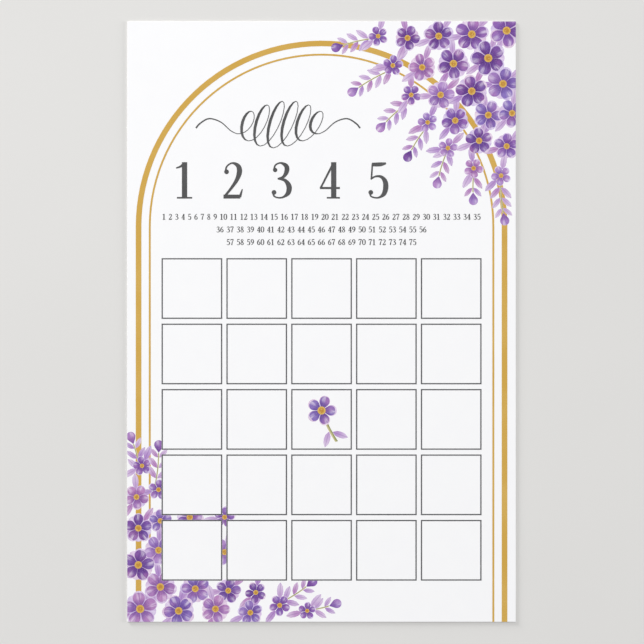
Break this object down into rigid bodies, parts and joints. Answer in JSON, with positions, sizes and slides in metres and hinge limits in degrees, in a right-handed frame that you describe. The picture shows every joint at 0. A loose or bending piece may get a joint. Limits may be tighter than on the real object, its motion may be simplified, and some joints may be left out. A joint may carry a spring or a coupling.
{
  "type": "bingo card",
  "caption": "Flat printed bingo card: a sheet of card stock with ink films for a gold arch, a grid of empty squares, a numeral heading and corner flowers.",
  "frame": {"origin": "centre of the card's back face, which rests on the table", "axes": "+X across the card to the reader's right, +Y towards its head, +Z out of the printed face"},
  "size_m": [0.1396, 0.216, 0.0004],
  "materials": {
    "card_stock": "matte",
    "gold_ink": "matte",
    "dark_ink": "matte",
    "violet_ink": "matte",
    "deep_violet_ink": "matte",
    "lilac_ink": "matte",
    "olive_ink": "matte",
    "amber_ink": "matte"
  },
  "bodies": {
    "root": {"card_sheet": "card_stock", "outer_arch": "gold_ink", "inner_arch": "gold_ink", "square_row1_col1": "dark_ink", "square_row1_col2": "dark_ink", "square_row1_col3": "dark_ink", "square_row1_col4": "dark_ink", "square_row1_col5": "dark_ink", "square_row2_col1": "dark_ink", "square_row2_col2": "dark_ink", "square_row2_col3": "dark_ink", "square_row2_col4": "dark_ink", "square_row2_col5": "dark_ink", "square_row3_col1": "dark_ink", "square_row3_col2": "dark_ink", "square_row3_col3": "dark_ink", "square_row3_col4": "dark_ink", "square_row3_col5": "dark_ink", "square_row4_col1": "dark_ink", "square_row4_col2": "dark_ink", "square_row4_col3": "dark_ink", "square_row4_col4": "dark_ink", "square_row4_col5": "dark_ink", "square_row5_col1": "dark_ink", "square_row5_col2": "dark_ink", "square_row5_col3": "dark_ink", "square_row5_col4": "dark_ink", "square_row5_col5": "dark_ink", "numeral_1": "dark_ink", "numeral_2": "dark_ink", "numeral_3": "dark_ink", "numeral_4": "dark_ink", "numeral_5": "dark_ink", "heading_flourish": "dark_ink", "tally_row_1": "dark_ink", "tally_row_2": "dark_ink", "tally_row_3": "dark_ink", "upper_petals": "violet_ink", "lower_petals": "violet_ink", "free_petals": "violet_ink", "upper_buds": "deep_violet_ink", "lower_buds": "deep_violet_ink", "upper_leaves": "lilac_ink", "lower_leaves": "lilac_ink", "free_leaves": "lilac_ink", "upper_stems": "olive_ink", "lower_stems": "olive_ink", "free_stem": "olive_ink", "upper_eyes": "amber_ink", "lower_eyes": "amber_ink", "free_eye": "amber_ink"}
  },
  "joints": []
}
